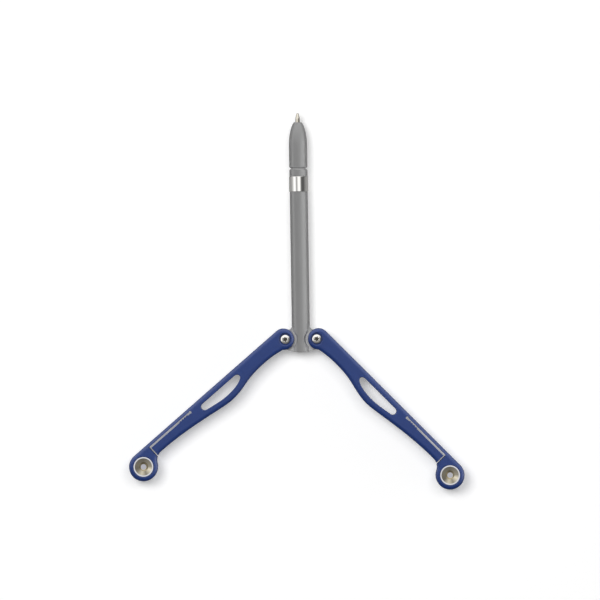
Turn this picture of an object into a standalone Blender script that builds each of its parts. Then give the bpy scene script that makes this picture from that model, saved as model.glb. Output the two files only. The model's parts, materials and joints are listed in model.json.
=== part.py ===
"""Balisong pen: a ballpoint barrel with two flipping handles on its tang.

The pen axis runs along +Y with the point at +Y, and the pen lies on the back
faces of its opened handles at z = 0. Sizes are in metres.
"""

from math import acos, asin, atan2, ceil, cos, hypot, pi, radians, sin, sqrt, tan

import bmesh
import bpy

MM = 0.001

# Pen body, built outwards from the refill and measured along the pen from the pivots
REFILL_STOP = 10.7 * MM
NECK_WALL = 0.65 * MM
FERRULE_LENGTH = 8.0 * MM
FERRULE_STEP = 0.3 * MM
FERRULE_WALL = 0.65 * MM
NOSE_LENGTH = 28.2 * MM
NOSE_STEP = 0.05 * MM
NOSE_FRONT_RADIUS = 2.1 * MM
OGIVE_LENGTH = 12.0 * MM
GROOVE_AHEAD = 4.4 * MM
GROOVE_WIDTH = 1.4 * MM
GROOVE_DEPTH = 0.7 * MM
SPIGOT_LENGTH = 8.0 * MM
SPIGOT_WALL = 0.55 * MM
EDGE_CHAMFER = 0.2 * MM

# Tang
PIVOT_STANDOFF = 3.5 * MM
LUG_RADIUS = 4.6 * MM
LUG_THICKNESS = 5.0 * MM
TANG_DROP = 7.2 * MM
RIB_DROP = 5.8 * MM
RIB_CHAMFER = 0.5 * MM
FLARE_RADIUS = 4.0 * MM
FLARE_INSET = 0.75 * MM

# Refill
REFILL_RADIUS = 2.95 * MM
REFILL_LENGTH = 107.2 * MM
REFILL_WALL = 0.35 * MM
SHOULDER_SETBACK = 14.3 * MM
SHOULDER_TAPER = 2.0 * MM
REFILL_NECK_RADIUS = 1.65 * MM
REFILL_NECK_LENGTH = 2.0 * MM
PLUG_HEAD = 1.5 * MM
PLUG_STEM = 3.0 * MM
POINT_LENGTH = 4.9 * MM
POINT_TAPER = 2.9 * MM
POINT_RADIUS = 1.175 * MM
POINT_RIM_RADIUS = 0.6 * MM
POINT_STEM_RADIUS = 0.8 * MM
POINT_STEM_LENGTH = 4.5 * MM
INK_CHANNEL_RADIUS = 0.3 * MM
BALL_RADIUS = 0.5 * MM
BALL_SHOW = 0.3 * MM

# Handles, measured along each handle from its pivot (u) and towards its straight edge (v)
HANDLE_REACH = 99.3 * MM
HANDLE_COVER = 0.9 * MM
RIM_RADIUS = 1.2 * MM
BOSS_RADIUS = 5.6 * MM
BOSS_AHEAD = 0.7 * MM
BOSS_RAISE = 0.5 * MM
EYE_RADIUS = 7.4 * MM
NECK_RADIUS = 6.0 * MM
WAVE_START_ANGLE = radians(-45)
WAVE_START_SLOPE = radians(10.5)
WAVE_START_PULL = 0.33
DIP_AT = 17.7 * MM
DIP_DEPTH = 1.92 * MM
DIP_PULL_BACK = 0.49
DIP_PULL_ON = 0.51
BULGE_AT = 42.0 * MM
BULGE_DEPTH = 5.05 * MM
BULGE_PULL_BACK = 0.4
BULGE_PULL_ON = 0.14
TAIL_DEPTH = 0.17 * MM
TAIL_PULL = 0.44
WINDOW_BACK = 11.6 * MM
WINDOW_FRONT = 14.5 * MM
WINDOW_RAIL = 3.15 * MM
WINDOW_SILL = 3.3 * MM
WINDOW_SHOULDER = 2.2 * MM
WINDOW_CORNER = 1.65 * MM
WINDOW_CAP = 1.83 * MM
WINDOW_RISE = radians(10.8)
WINDOW_PULL = 0.8
CLIP_LENGTH = 28.0 * MM
CLIP_MARGIN = 1.5 * MM
STRAP_WIDTH = 1.75 * MM
SLIT_WIDTH = 0.78 * MM
SLIT_EXIT_WIDTH = 0.6 * MM
SLIT_HOLE_SWELL = 0.26 * MM
TEETH = 4
TOOTH_PITCH = 1.5 * MM
TOOTH_HEIGHT = 0.5 * MM
TOOTH_START = 1.8 * MM
TOOTH_LEAN = 0.6

# Weights pressed into the eyes
EYE_WALL = 2.2 * MM
WEIGHT_RIM = 0.95 * MM
WEIGHT_FLANGE = 2.2 * MM
WEIGHT_STEP = 1.0 * MM
WEIGHT_FLOOR = 1.2 * MM
WEIGHT_RECESS = 0.1 * MM
DISH_DEPTH = 2.4 * MM
DISH_FLOOR_RADIUS = 1.35 * MM

# Pivot hardware
SLEEVE_RADIUS = 2.0 * MM
SCREW_RADIUS = 1.2 * MM
SCREW_LENGTH = 6.4 * MM
HEAD_RADIUS = 2.55 * MM
HEAD_ROOM = 0.65 * MM
HEAD_HEIGHT = 1.25 * MM
HEAD_SIDE = 0.45 * MM
HEAD_RECESS = 0.1 * MM
SOCKET_RADIUS = 1.35 * MM
SOCKET_DEPTH = 0.75 * MM
WASHER_THICKNESS = 0.4 * MM
WASHER_MARGIN = 0.4 * MM

# Clearances
FIT_GAP = 0.05 * MM
REFILL_GAP = 0.1 * MM
BALL_GAP = 0.03 * MM
NEST_GAP = 0.3 * MM
SWING_GAP = 0.4 * MM
FORK_GAP = 1.3 * MM
OVERCUT = 2.0 * MM
WELD_GAP = 0.001 * MM

# Pose: how far each handle has opened from the pen's point, and its angle when shut
LEFT_OPENING = radians(131.1)
RIGHT_OPENING = radians(136.5)
SHUT_SPLAY = radians(1.5)

# Facets around a turn, along a free curve and across a rounded rim
BODY_FACETS = 32
FITTING_FACETS = 24
BALL_FACETS = 12
CURVE_FACETS = 10
RIM_FACETS = 3
KEY_SIDES = 6
RIM_EDGE_ANGLE = radians(70)
FLAT_ANGLE = radians(0.1)

# Sizes that follow from the ones above
BORE_RADIUS = REFILL_RADIUS + REFILL_GAP
SPIGOT_RADIUS = BORE_RADIUS + SPIGOT_WALL
THREAD_RADIUS = SPIGOT_RADIUS + FIT_GAP
NECK_OUTER = THREAD_RADIUS + NECK_WALL
FERRULE_BORE = NECK_OUTER + FIT_GAP
FERRULE_RADIUS = FERRULE_BORE + FERRULE_WALL
BARREL_RADIUS = FERRULE_RADIUS - FERRULE_STEP
NOSE_RADIUS = BARREL_RADIUS + NOSE_STEP
PIVOT_OFFSET = BARREL_RADIUS + PIVOT_STANDOFF
SLEEVE_BORE = SLEEVE_RADIUS + FIT_GAP
HANDLE_FACE = BARREL_RADIUS + HANDLE_COVER
LUG_FACE = LUG_THICKNESS / 2
EAR_FACE = LUG_FACE + WASHER_THICKNESS + 2 * FIT_GAP
SEAT_FACE = HANDLE_FACE - HEAD_RECESS - HEAD_HEIGHT - FIT_GAP
WEIGHT_RADIUS = EYE_RADIUS - EYE_WALL
WEIGHT_DEPTH = DISH_DEPTH + WEIGHT_FLOOR
TIP_AT = REFILL_STOP + REFILL_LENGTH
NOSE_AT = TIP_AT - POINT_LENGTH
MOUTH_AT = NOSE_AT - NOSE_LENGTH
BARREL_LENGTH = MOUTH_AT - FERRULE_LENGTH
SHOULDER_AT = NOSE_AT - SHOULDER_SETBACK
REFILL_NECK_AT = SHOULDER_AT + SHOULDER_TAPER + REFILL_NECK_LENGTH
ALONG_PEN = (-pi / 2, 0, 0)


def clear_scene():
    for obj in list(bpy.data.objects):
        bpy.data.objects.remove(obj, do_unlink=True)


def new_collection(name):
    collection = bpy.data.collections.new(name)
    bpy.context.scene.collection.children.link(collection)
    return collection


clear_scene()
PARTS = new_collection("balisong_pen")
CUTTERS = new_collection("balisong_pen_cutters")


def finish(name, colour, roughness, metallic):
    """A Principled material."""
    material = bpy.data.materials.new(name)
    material.use_nodes = True
    shader = material.node_tree.nodes["Principled BSDF"]
    shader.inputs["Base Color"].default_value = (*colour, 1.0)
    shader.inputs["Roughness"].default_value = roughness
    shader.inputs["Metallic"].default_value = metallic
    return material


BLUE_MOULDING = finish("blue_moulding", (0.045, 0.062, 0.195), 0.42, 0.0)
GREY_MOULDING = finish("grey_moulding", (0.26, 0.26, 0.26), 0.35, 0.0)
CHROME = finish("chrome", (0.80, 0.80, 0.80), 0.08, 1.0)
STEEL = finish("steel", (0.62, 0.61, 0.58), 0.25, 1.0)
BRASS = finish("brass", (0.72, 0.55, 0.27), 0.3, 1.0)
BRONZE = finish("bronze", (0.55, 0.38, 0.20), 0.4, 1.0)
CARBIDE = finish("carbide", (0.35, 0.35, 0.36), 0.15, 1.0)
PLUG_POLYMER = finish("plug_polymer", (0.02, 0.02, 0.02), 0.5, 0.0)


def place(name, mesh, parent, material=None, at=(0, 0, 0), turn=(0, 0, 0)):
    """An object in the parts, or a hidden cutter where it has no material."""
    obj = bpy.data.objects.new(name, mesh)
    obj.parent = parent
    obj.location = at
    obj.rotation_euler = turn
    if material:
        PARTS.objects.link(obj)
        mesh.materials.append(material)
    else:
        CUTTERS.objects.link(obj)
        obj.hide_render = True
        obj.display_type = "WIRE"
    return obj


def turned(name, profile, facets, parent, material=None, at=(0, 0, 0), turn=(0, 0, 0)):
    """A turned solid about its Z axis, from (radius, height) points down its outer side.

    A profile that leaves the axis and comes back to it is solid. Any other is a closed
    loop round a bore.
    """
    mesh = bpy.data.meshes.new(name)
    bored = profile[0][0] > 0
    count = len(profile)
    edges = [(i, (i + 1) % count) for i in range(count if bored else count - 1)]
    mesh.from_pydata([(r, 0, h) for r, h in profile], edges, [])
    obj = place(name, mesh, parent, material, at, turn)
    screw = obj.modifiers.new("turn", "SCREW")
    screw.axis = "Z"
    screw.angle = 2 * pi
    screw.steps = facets
    screw.render_steps = facets
    screw.use_merge_vertices = True
    screw.merge_threshold = WELD_GAP
    screw.use_smooth_shade = True
    weld = obj.modifiers.new("close", "WELD")
    weld.merge_threshold = WELD_GAP
    return obj


def cylinder(name, radius, low, high, facets, parent, at=(0, 0)):
    """A cutter between two heights."""
    mesh = bpy.data.meshes.new(name)
    bm = bmesh.new()
    bmesh.ops.create_cone(
        bm, cap_ends=True, segments=facets, radius1=radius, radius2=radius, depth=high - low
    )
    bm.to_mesh(mesh)
    bm.free()
    return place(name, mesh, parent, None, (*at, (low + high) / 2))


def plate(name, outline, thickness, parent, material=None):
    """A flat outline of (u, v) points, thickened evenly about z = 0."""
    curve = bpy.data.curves.new(name, "CURVE")
    curve.dimensions = "2D"
    curve.fill_mode = "BOTH"
    curve.extrude = thickness / 2
    spline = curve.splines.new("POLY")
    spline.points.add(len(outline) - 1)
    for point, (u, v) in zip(spline.points, outline):
        point.co = (u, v, 0, 1)
    spline.use_cyclic_u = True
    guide = bpy.data.objects.new(name + "_outline", curve)
    CUTTERS.objects.link(guide)
    graph = bpy.context.evaluated_depsgraph_get()
    mesh = bpy.data.meshes.new_from_object(guide.evaluated_get(graph))
    bpy.data.objects.remove(guide)
    bm = bmesh.new()
    bm.from_mesh(mesh)
    bmesh.ops.remove_doubles(bm, verts=bm.verts, dist=WELD_GAP)
    bmesh.ops.dissolve_limit(bm, angle_limit=FLAT_ANGLE, verts=bm.verts, edges=bm.edges)
    bmesh.ops.recalc_face_normals(bm, faces=bm.faces)
    bm.to_mesh(mesh)
    bm.free()
    mesh.name = name
    mesh.shade_smooth()
    return place(name, mesh, parent, material)


def combine(target, operation, *others):
    for other in others:
        boolean = target.modifiers.new(other.name, "BOOLEAN")
        boolean.operation = operation
        boolean.solver = "EXACT"
        boolean.object = other


def on_circle(centre, radius, angle):
    return (centre[0] + radius * cos(angle), centre[1] + radius * sin(angle))


def arc(centre, radii, start, end, facets=BODY_FACETS):
    """Points from one angle to another on a circle or an ellipse, both ends included."""
    if not isinstance(radii, tuple):
        radii = (radii, radii)
    count = max(2, ceil(facets * abs(end - start) / (2 * pi)))
    angles = [start + (end - start) * i / count for i in range(count + 1)]
    return [(centre[0] + radii[0] * cos(a), centre[1] + radii[1] * sin(a)) for a in angles]


def bezier(p0, p1, p2, p3):
    """Points on a cubic curve, both ends included."""
    points = []
    for i in range(CURVE_FACETS + 1):
        t = i / CURVE_FACETS
        shares = ((1 - t) ** 3, 3 * t * (1 - t) ** 2, 3 * t * t * (1 - t), t**3)
        u, v = (sum(w * p[k] for w, p in zip(shares, (p0, p1, p2, p3))) for k in (0, 1))
        points.append((u, v))
    return points


def without_repeats(points):
    """Closed outline with no point on top of the next."""
    kept = []
    for point in points:
        if not kept or hypot(point[0] - kept[-1][0], point[1] - kept[-1][1]) > WELD_GAP:
            kept.append(point)
    if hypot(kept[0][0] - kept[-1][0], kept[0][1] - kept[-1][1]) < WELD_GAP:
        kept.pop()
    return kept


def straight_edge():
    """The straight edge touches the boss and the eye: its angle of touch and first point."""
    run = HANDLE_REACH - BOSS_AHEAD
    rise = -BOSS_RAISE
    touch = atan2(rise, run) + acos((BOSS_RADIUS - EYE_RADIUS) / hypot(run, rise))
    return touch, on_circle((BOSS_AHEAD, BOSS_RAISE), BOSS_RADIUS, touch)


def below_edge(u, depth):
    """The point at station u, a depth inside the straight edge."""
    touch, first = straight_edge()
    outward = (cos(touch), sin(touch))
    along = (sin(touch), -cos(touch))
    run = (u - first[0] + outward[0] * depth) / along[0]
    return (u, first[1] + along[1] * run - outward[1] * depth)


def handle_outline():
    """Boss, wavy finger edge, neck, eye and straight edge, anticlockwise."""
    boss = (BOSS_AHEAD, BOSS_RAISE)
    eye = (HANDLE_REACH, 0)
    touch, _ = straight_edge()
    neck_drop = TAIL_DEPTH + NECK_RADIUS
    neck_back = sqrt((EYE_RADIUS + NECK_RADIUS) ** 2 - neck_drop**2)
    neck = (HANDLE_REACH - neck_back, -neck_drop)
    neck_angle = atan2(neck_drop, neck_back)
    start = on_circle(boss, BOSS_RADIUS, WAVE_START_ANGLE)
    dip = (DIP_AT, -DIP_DEPTH)
    bulge = (BULGE_AT, -BULGE_DEPTH)
    tail = (neck[0], -TAIL_DEPTH)
    rise = dip[0] - start[0]
    swell = bulge[0] - dip[0]
    fall = tail[0] - bulge[0]
    points = bezier(
        start,
        on_circle(start, WAVE_START_PULL * rise, WAVE_START_SLOPE),
        (dip[0] - DIP_PULL_BACK * rise, dip[1]),
        dip,
    )
    points += bezier(
        dip,
        (dip[0] + DIP_PULL_ON * swell, dip[1]),
        (bulge[0] - BULGE_PULL_BACK * swell, bulge[1]),
        bulge,
    )
    points += bezier(
        bulge,
        (bulge[0] + BULGE_PULL_ON * fall, bulge[1]),
        (tail[0] - TAIL_PULL * fall, tail[1]),
        tail,
    )
    points += arc(neck, NECK_RADIUS, pi / 2, neck_angle)
    points += arc(eye, EYE_RADIUS, neck_angle - pi, touch)
    points += arc(boss, BOSS_RADIUS, touch, 2 * pi + WAVE_START_ANGLE)
    return without_repeats(points)


def window_outline():
    """Window: straight under the straight edge, round in front, and bowed to follow the bulge."""
    back = BULGE_AT - WINDOW_BACK
    front = BULGE_AT + WINDOW_FRONT
    top_back = below_edge(back + WINDOW_SHOULDER, WINDOW_RAIL)
    top_front = below_edge(front - WINDOW_CAP, WINDOW_RAIL)
    floor = WINDOW_SILL - BULGE_DEPTH
    low_back = top_back[1] - WINDOW_CORNER
    cap = (top_front[0], top_front[1] - WINDOW_CAP)
    points = arc((top_back[0], low_back), (WINDOW_SHOULDER, WINDOW_CORNER), pi, pi / 2, FITTING_FACETS)
    points += arc(cap, WINDOW_CAP, pi / 2, WINDOW_RISE - pi / 2, FITTING_FACETS)
    end = points[-1]
    knee = end[0] - (end[1] - floor) / tan(WINDOW_RISE)
    points += bezier(
        end,
        (end[0] + WINDOW_PULL * (knee - end[0]), end[1] + WINDOW_PULL * (floor - end[1])),
        (BULGE_AT + WINDOW_PULL * (knee - BULGE_AT), floor),
        (BULGE_AT, floor),
    )
    points += arc((BULGE_AT, low_back), (WINDOW_BACK, low_back - floor), -pi / 2, -pi)
    return without_repeats(points)


def slit_outline():
    """L-shaped slit that frees the clip tongue: hole, toothed long leg and exit leg."""
    end = HANDLE_REACH - EYE_RADIUS - CLIP_MARGIN
    start = end - CLIP_LENGTH
    outer = STRAP_WIDTH
    inner = STRAP_WIDTH + SLIT_WIDTH
    hole = below_edge(start, outer + SLIT_WIDTH / 2)
    hole_radius = SLIT_WIDTH / 2 + SLIT_HOLE_SWELL
    opening = asin(SLIT_WIDTH / 2 / hole_radius)
    below_all = below_edge(end, inner)[1] + TAIL_DEPTH + NECK_RADIUS
    points = arc(hole, hole_radius, 2 * pi - opening, opening, FITTING_FACETS)
    points.append(below_edge(end, outer))
    points.append(below_edge(end, inner + below_all))
    points.append(below_edge(end - SLIT_EXIT_WIDTH, inner + below_all))
    points.append(below_edge(end - SLIT_EXIT_WIDTH, inner))
    for tooth in reversed(range(TEETH)):
        root = start + TOOTH_START + tooth * TOOTH_PITCH
        points.append(below_edge(root + TOOTH_PITCH, inner))
        points.append(below_edge(root + TOOTH_LEAN * TOOTH_PITCH, inner - TOOTH_HEIGHT))
    points.append(below_edge(start + TOOTH_START, inner))
    return without_repeats(points)


def tang_outline():
    """Two lugs joined across the barrel: the bottom edge bows round both, the shoulders flare."""
    square_sum = PIVOT_OFFSET**2 + TANG_DROP**2 - LUG_RADIUS**2
    bow_radius = square_sum / (2 * (TANG_DROP - LUG_RADIUS))
    bow = (0, bow_radius - TANG_DROP)
    lug = (PIVOT_OFFSET, 0)
    flare_at = BARREL_RADIUS - FLARE_INSET + FLARE_RADIUS
    flare_height = sqrt((LUG_RADIUS + FLARE_RADIUS) ** 2 - (flare_at - PIVOT_OFFSET) ** 2)
    touch = atan2(-bow[1], PIVOT_OFFSET)
    lug_end = atan2(flare_height, flare_at - PIVOT_OFFSET)
    half = arc(bow, bow_radius, -pi / 2, touch, 2 * BODY_FACETS)
    half += arc(lug, LUG_RADIUS, touch, lug_end)
    half += arc((flare_at, flare_height), FLARE_RADIUS, lug_end + pi, pi)
    return without_repeats(half + [(-x, y) for x, y in reversed(half)])


def frame_empty(name, parent, at, turn=0.0):
    empty = bpy.data.objects.new(name, None)
    PARTS.objects.link(empty)
    empty.parent = parent
    empty.location = at
    empty.rotation_euler = (0, 0, turn)
    return empty


def handle_direction(side):
    """Angle of a handle from +X in the pen's frame: side -1 is left, 1 is right."""
    return pi / 2 - side * (RIGHT_OPENING if side > 0 else LEFT_OPENING)


def resting_centre():
    """Middle of the part's plan box: the eyes bound three sides and the point the fourth."""
    eyes = []
    for side in (-1, 1):
        angle = handle_direction(side)
        eyes.append((side * PIVOT_OFFSET + HANDLE_REACH * cos(angle), HANDLE_REACH * sin(angle)))
    low_x = min(x for x, _ in eyes) - EYE_RADIUS
    high_x = max(x for x, _ in eyes) + EYE_RADIUS
    low_y = min(y for _, y in eyes) - EYE_RADIUS
    return ((low_x + high_x) / 2, (low_y + TIP_AT) / 2)


def make_barrel(pen):
    """Moulded barrel with its tang: bored for the refill, threaded at the mouth."""
    profile = [
        (0, MOUTH_AT - FIT_GAP),
        (NECK_OUTER, MOUTH_AT - FIT_GAP),
        (NECK_OUTER, BARREL_LENGTH),
        (BARREL_RADIUS, BARREL_LENGTH),
        (BARREL_RADIUS, RIB_CHAMFER - RIB_DROP),
        (BARREL_RADIUS - RIB_CHAMFER, -RIB_DROP),
        (0, -RIB_DROP),
    ]
    barrel = turned("barrel", profile, BODY_FACETS, pen, GREY_MOULDING, turn=ALONG_PEN)
    combine(barrel, "UNION", plate("tang_plate", tang_outline(), LUG_THICKNESS, pen))
    thread_end = MOUTH_AT - SPIGOT_LENGTH - NEST_GAP
    bore = [
        (0, MOUTH_AT + OVERCUT),
        (THREAD_RADIUS, MOUTH_AT + OVERCUT),
        (THREAD_RADIUS, thread_end),
        (BORE_RADIUS, thread_end),
        (BORE_RADIUS, REFILL_STOP - NEST_GAP),
        (0, REFILL_STOP - NEST_GAP),
    ]
    combine(barrel, "DIFFERENCE", turned("barrel_bore", bore, BODY_FACETS, pen, turn=ALONG_PEN))
    for side, name in ((-1, "left"), (1, "right")):
        at = (side * PIVOT_OFFSET, 0)
        scoop = BOSS_RADIUS + SWING_GAP
        top = BARREL_RADIUS + OVERCUT
        front = cylinder(name + "_front_scoop", scoop, LUG_FACE, top, BODY_FACETS, pen, at)
        rear = cylinder(name + "_rear_scoop", scoop, -top, -LUG_FACE, BODY_FACETS, pen, at)
        hole = cylinder(name + "_lug_hole", SLEEVE_BORE, -top, top, FITTING_FACETS, pen, at)
        combine(barrel, "DIFFERENCE", front, rear, hole)
    return barrel


def make_ferrule(pen):
    """Bright metal ring pressed over the mouth of the barrel."""
    low = BARREL_LENGTH + FIT_GAP
    profile = [
        (FERRULE_BORE, MOUTH_AT),
        (FERRULE_RADIUS - EDGE_CHAMFER, MOUTH_AT),
        (FERRULE_RADIUS, MOUTH_AT - EDGE_CHAMFER),
        (FERRULE_RADIUS, low + EDGE_CHAMFER),
        (FERRULE_RADIUS - EDGE_CHAMFER, low),
        (FERRULE_BORE, low),
    ]
    turned("ferrule", profile, BODY_FACETS, pen, CHROME, turn=ALONG_PEN)


def make_nose(pen):
    """Ogive nose with a V-groove, screwed into the barrel by a hollow spigot."""
    shoulder = MOUTH_AT + FIT_GAP
    groove = MOUTH_AT + GROOVE_AHEAD
    hole = POINT_RADIUS + REFILL_GAP
    reach = OGIVE_LENGTH / sqrt(1 - (NOSE_FRONT_RADIUS / NOSE_RADIUS) ** 2)
    profile = [(hole, NOSE_AT)]
    front_angle = asin(NOSE_FRONT_RADIUS / NOSE_RADIUS)
    for ahead, radius in arc((0, 0), (reach, NOSE_RADIUS), front_angle, pi / 2):
        profile.append((radius, NOSE_AT - OGIVE_LENGTH + ahead))
    profile += [
        (NOSE_RADIUS, groove + GROOVE_WIDTH / 2),
        (NOSE_RADIUS - GROOVE_DEPTH, groove),
        (NOSE_RADIUS, groove - GROOVE_WIDTH / 2),
        (NOSE_RADIUS, shoulder + EDGE_CHAMFER),
        (NOSE_RADIUS - EDGE_CHAMFER, shoulder),
        (SPIGOT_RADIUS, shoulder),
        (SPIGOT_RADIUS, MOUTH_AT - SPIGOT_LENGTH),
        (BORE_RADIUS, MOUTH_AT - SPIGOT_LENGTH),
        (BORE_RADIUS, SHOULDER_AT),
        (REFILL_NECK_RADIUS + REFILL_GAP, SHOULDER_AT + SHOULDER_TAPER),
        (REFILL_NECK_RADIUS + REFILL_GAP, REFILL_NECK_AT + REFILL_GAP),
        (hole, REFILL_NECK_AT + REFILL_GAP),
    ]
    turned("nose_cone", profile, BODY_FACETS, pen, GREY_MOULDING, turn=ALONG_PEN)


def make_refill(pen):
    """Brass ink tube with its tail plug, metal point and writing ball."""
    inside = REFILL_RADIUS - REFILL_WALL
    stem_hole = POINT_STEM_RADIUS + FIT_GAP
    tube_end = REFILL_STOP + PLUG_HEAD + FIT_GAP
    tube = [
        (stem_hole, REFILL_NECK_AT),
        (REFILL_NECK_RADIUS, REFILL_NECK_AT),
        (REFILL_NECK_RADIUS, SHOULDER_AT + SHOULDER_TAPER),
        (REFILL_RADIUS, SHOULDER_AT),
        (REFILL_RADIUS, tube_end),
        (inside, tube_end),
        (inside, SHOULDER_AT - REFILL_WALL),
        (stem_hole, SHOULDER_AT + SHOULDER_TAPER - REFILL_WALL),
    ]
    turned("refill_tube", tube, FITTING_FACETS, pen, BRASS, turn=ALONG_PEN)

    stem = inside - FIT_GAP
    plug = [
        (0, REFILL_STOP + PLUG_HEAD + PLUG_STEM),
        (stem, REFILL_STOP + PLUG_HEAD + PLUG_STEM),
        (stem, REFILL_STOP + PLUG_HEAD),
        (REFILL_RADIUS, REFILL_STOP + PLUG_HEAD),
        (REFILL_RADIUS, REFILL_STOP),
        (0, REFILL_STOP),
    ]
    turned("refill_tail_plug", plug, FITTING_FACETS, pen, PLUG_POLYMER, turn=ALONG_PEN)

    centre = TIP_AT - BALL_RADIUS
    socket = BALL_RADIUS + BALL_GAP
    lip = acos((BALL_RADIUS - BALL_SHOW) / socket)
    seat = pi - asin(INK_CHANNEL_RADIUS / socket)
    stem_top = REFILL_NECK_AT + FIT_GAP
    point = [
        (POINT_RIM_RADIUS, TIP_AT - BALL_SHOW),
        (POINT_RADIUS, TIP_AT - POINT_TAPER),
        (POINT_RADIUS, stem_top),
        (POINT_STEM_RADIUS, stem_top),
        (POINT_STEM_RADIUS, stem_top - POINT_STEM_LENGTH),
        (INK_CHANNEL_RADIUS, stem_top - POINT_STEM_LENGTH),
    ]
    cup = arc((centre, 0), socket, seat, lip, FITTING_FACETS)
    point += [(r, h) for h, r in cup]
    turned("refill_point", point, FITTING_FACETS, pen, STEEL, turn=ALONG_PEN)

    mesh = bpy.data.meshes.new("writing_ball")
    bm = bmesh.new()
    bmesh.ops.create_uvsphere(bm, u_segments=BALL_FACETS, v_segments=BALL_FACETS // 2, radius=BALL_RADIUS)
    bm.to_mesh(mesh)
    bm.free()
    mesh.shade_smooth()
    place("writing_ball", mesh, pen, CARBIDE, (0, centre, 0))


def make_handle(name, side, hinge):
    """Moulded handle: forked boss, barrel channel, window, clip slit and eye."""
    outline = [(u, side * v) for u, v in handle_outline()]
    handle = plate(name + "_handle", outline, 2 * HANDLE_FACE, hinge, BLUE_MOULDING)
    rim = handle.modifiers.new("rounded_rim", "BEVEL")
    rim.width = RIM_RADIUS
    rim.segments = RIM_FACETS
    rim.limit_method = "ANGLE"
    rim.angle_limit = RIM_EDGE_ANGLE
    rim.use_clamp_overlap = False

    through = 2 * (HANDLE_FACE + OVERCUT)
    window = plate(name + "_window", [(u, side * v) for u, v in window_outline()], through, hinge)
    slit = plate(name + "_slit", [(u, side * v) for u, v in slit_outline()], through, hinge)
    fork = cylinder(name + "_fork", TANG_DROP + FORK_GAP, -EAR_FACE, EAR_FACE, BODY_FACETS, hinge)
    channel = turned(
        name + "_channel",
        channel_profile(),
        BODY_FACETS,
        hinge,
        at=(-PIVOT_OFFSET * sin(SHUT_SPLAY), side * PIVOT_OFFSET * cos(SHUT_SPLAY), 0),
        turn=(0, pi / 2, side * SHUT_SPLAY),
    )
    top = HANDLE_FACE + OVERCUT
    room = HEAD_RADIUS + HEAD_ROOM
    pivot = [
        (0, top),
        (room, top),
        (room, SEAT_FACE),
        (SLEEVE_BORE, SEAT_FACE),
        (SLEEVE_BORE, -SEAT_FACE),
        (room, -SEAT_FACE),
        (room, -top),
        (0, -top),
    ]
    bore = turned(name + "_pivot_bore", pivot, FITTING_FACETS, hinge)
    combine(handle, "DIFFERENCE", fork, channel, window, slit, bore)

    face = HANDLE_FACE - WEIGHT_RECESS
    pocket = [
        (0, top),
        (WEIGHT_RADIUS + FIT_GAP, top),
        (WEIGHT_RADIUS + FIT_GAP, face - WEIGHT_FLANGE - FIT_GAP),
        (WEIGHT_RADIUS - WEIGHT_STEP + FIT_GAP, face - WEIGHT_FLANGE - FIT_GAP),
        (WEIGHT_RADIUS - WEIGHT_STEP + FIT_GAP, face - WEIGHT_DEPTH - FIT_GAP),
        (0, face - WEIGHT_DEPTH - FIT_GAP),
    ]
    for end, turn in (("front", (0, 0, 0)), ("rear", (pi, 0, 0))):
        cut = turned(f"{name}_{end}_pocket", pocket, BODY_FACETS, hinge, None, (HANDLE_REACH, 0, 0), turn)
        combine(handle, "DIFFERENCE", cut)


def channel_profile():
    """The pen's envelope with the gap that the shut handle keeps to it."""
    barrel = BARREL_RADIUS + NEST_GAP
    ferrule = FERRULE_RADIUS + NEST_GAP
    nose = NOSE_RADIUS + NEST_GAP
    return [
        (0, TIP_AT + OVERCUT),
        (nose, TIP_AT + OVERCUT),
        (nose, MOUTH_AT + NEST_GAP),
        (ferrule, MOUTH_AT + NEST_GAP),
        (ferrule, BARREL_LENGTH - NEST_GAP),
        (barrel, BARREL_LENGTH - NEST_GAP),
        (barrel, -TANG_DROP - OVERCUT),
        (0, -TANG_DROP - OVERCUT),
    ]


def make_weights(name, hinge):
    """Dished steel weights, one pressed into each face of the eye."""
    face = HANDLE_FACE - WEIGHT_RECESS
    shank = WEIGHT_RADIUS - WEIGHT_STEP
    profile = [
        (0, face - DISH_DEPTH),
        (DISH_FLOOR_RADIUS, face - DISH_DEPTH),
        (WEIGHT_RADIUS - WEIGHT_RIM, face),
        (WEIGHT_RADIUS - EDGE_CHAMFER, face),
        (WEIGHT_RADIUS, face - EDGE_CHAMFER),
        (WEIGHT_RADIUS, face - WEIGHT_FLANGE),
        (shank, face - WEIGHT_FLANGE),
        (shank, face - WEIGHT_DEPTH),
        (0, face - WEIGHT_DEPTH),
    ]
    at = (HANDLE_REACH, 0, 0)
    turned(name + "_front_weight", profile, BODY_FACETS, hinge, STEEL, at)
    turned(name + "_rear_weight", profile, BODY_FACETS, hinge, STEEL, at, (pi, 0, 0))


def domed_head(seat, top):
    """Button head: points from its crown down its side to the seat."""
    side = seat + HEAD_SIDE
    dome = arc((0, side), (HEAD_RADIUS, top - side), pi / 2, 0, FITTING_FACETS)
    dome[0] = (0, top)
    return dome + [(HEAD_RADIUS, seat)]


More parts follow.
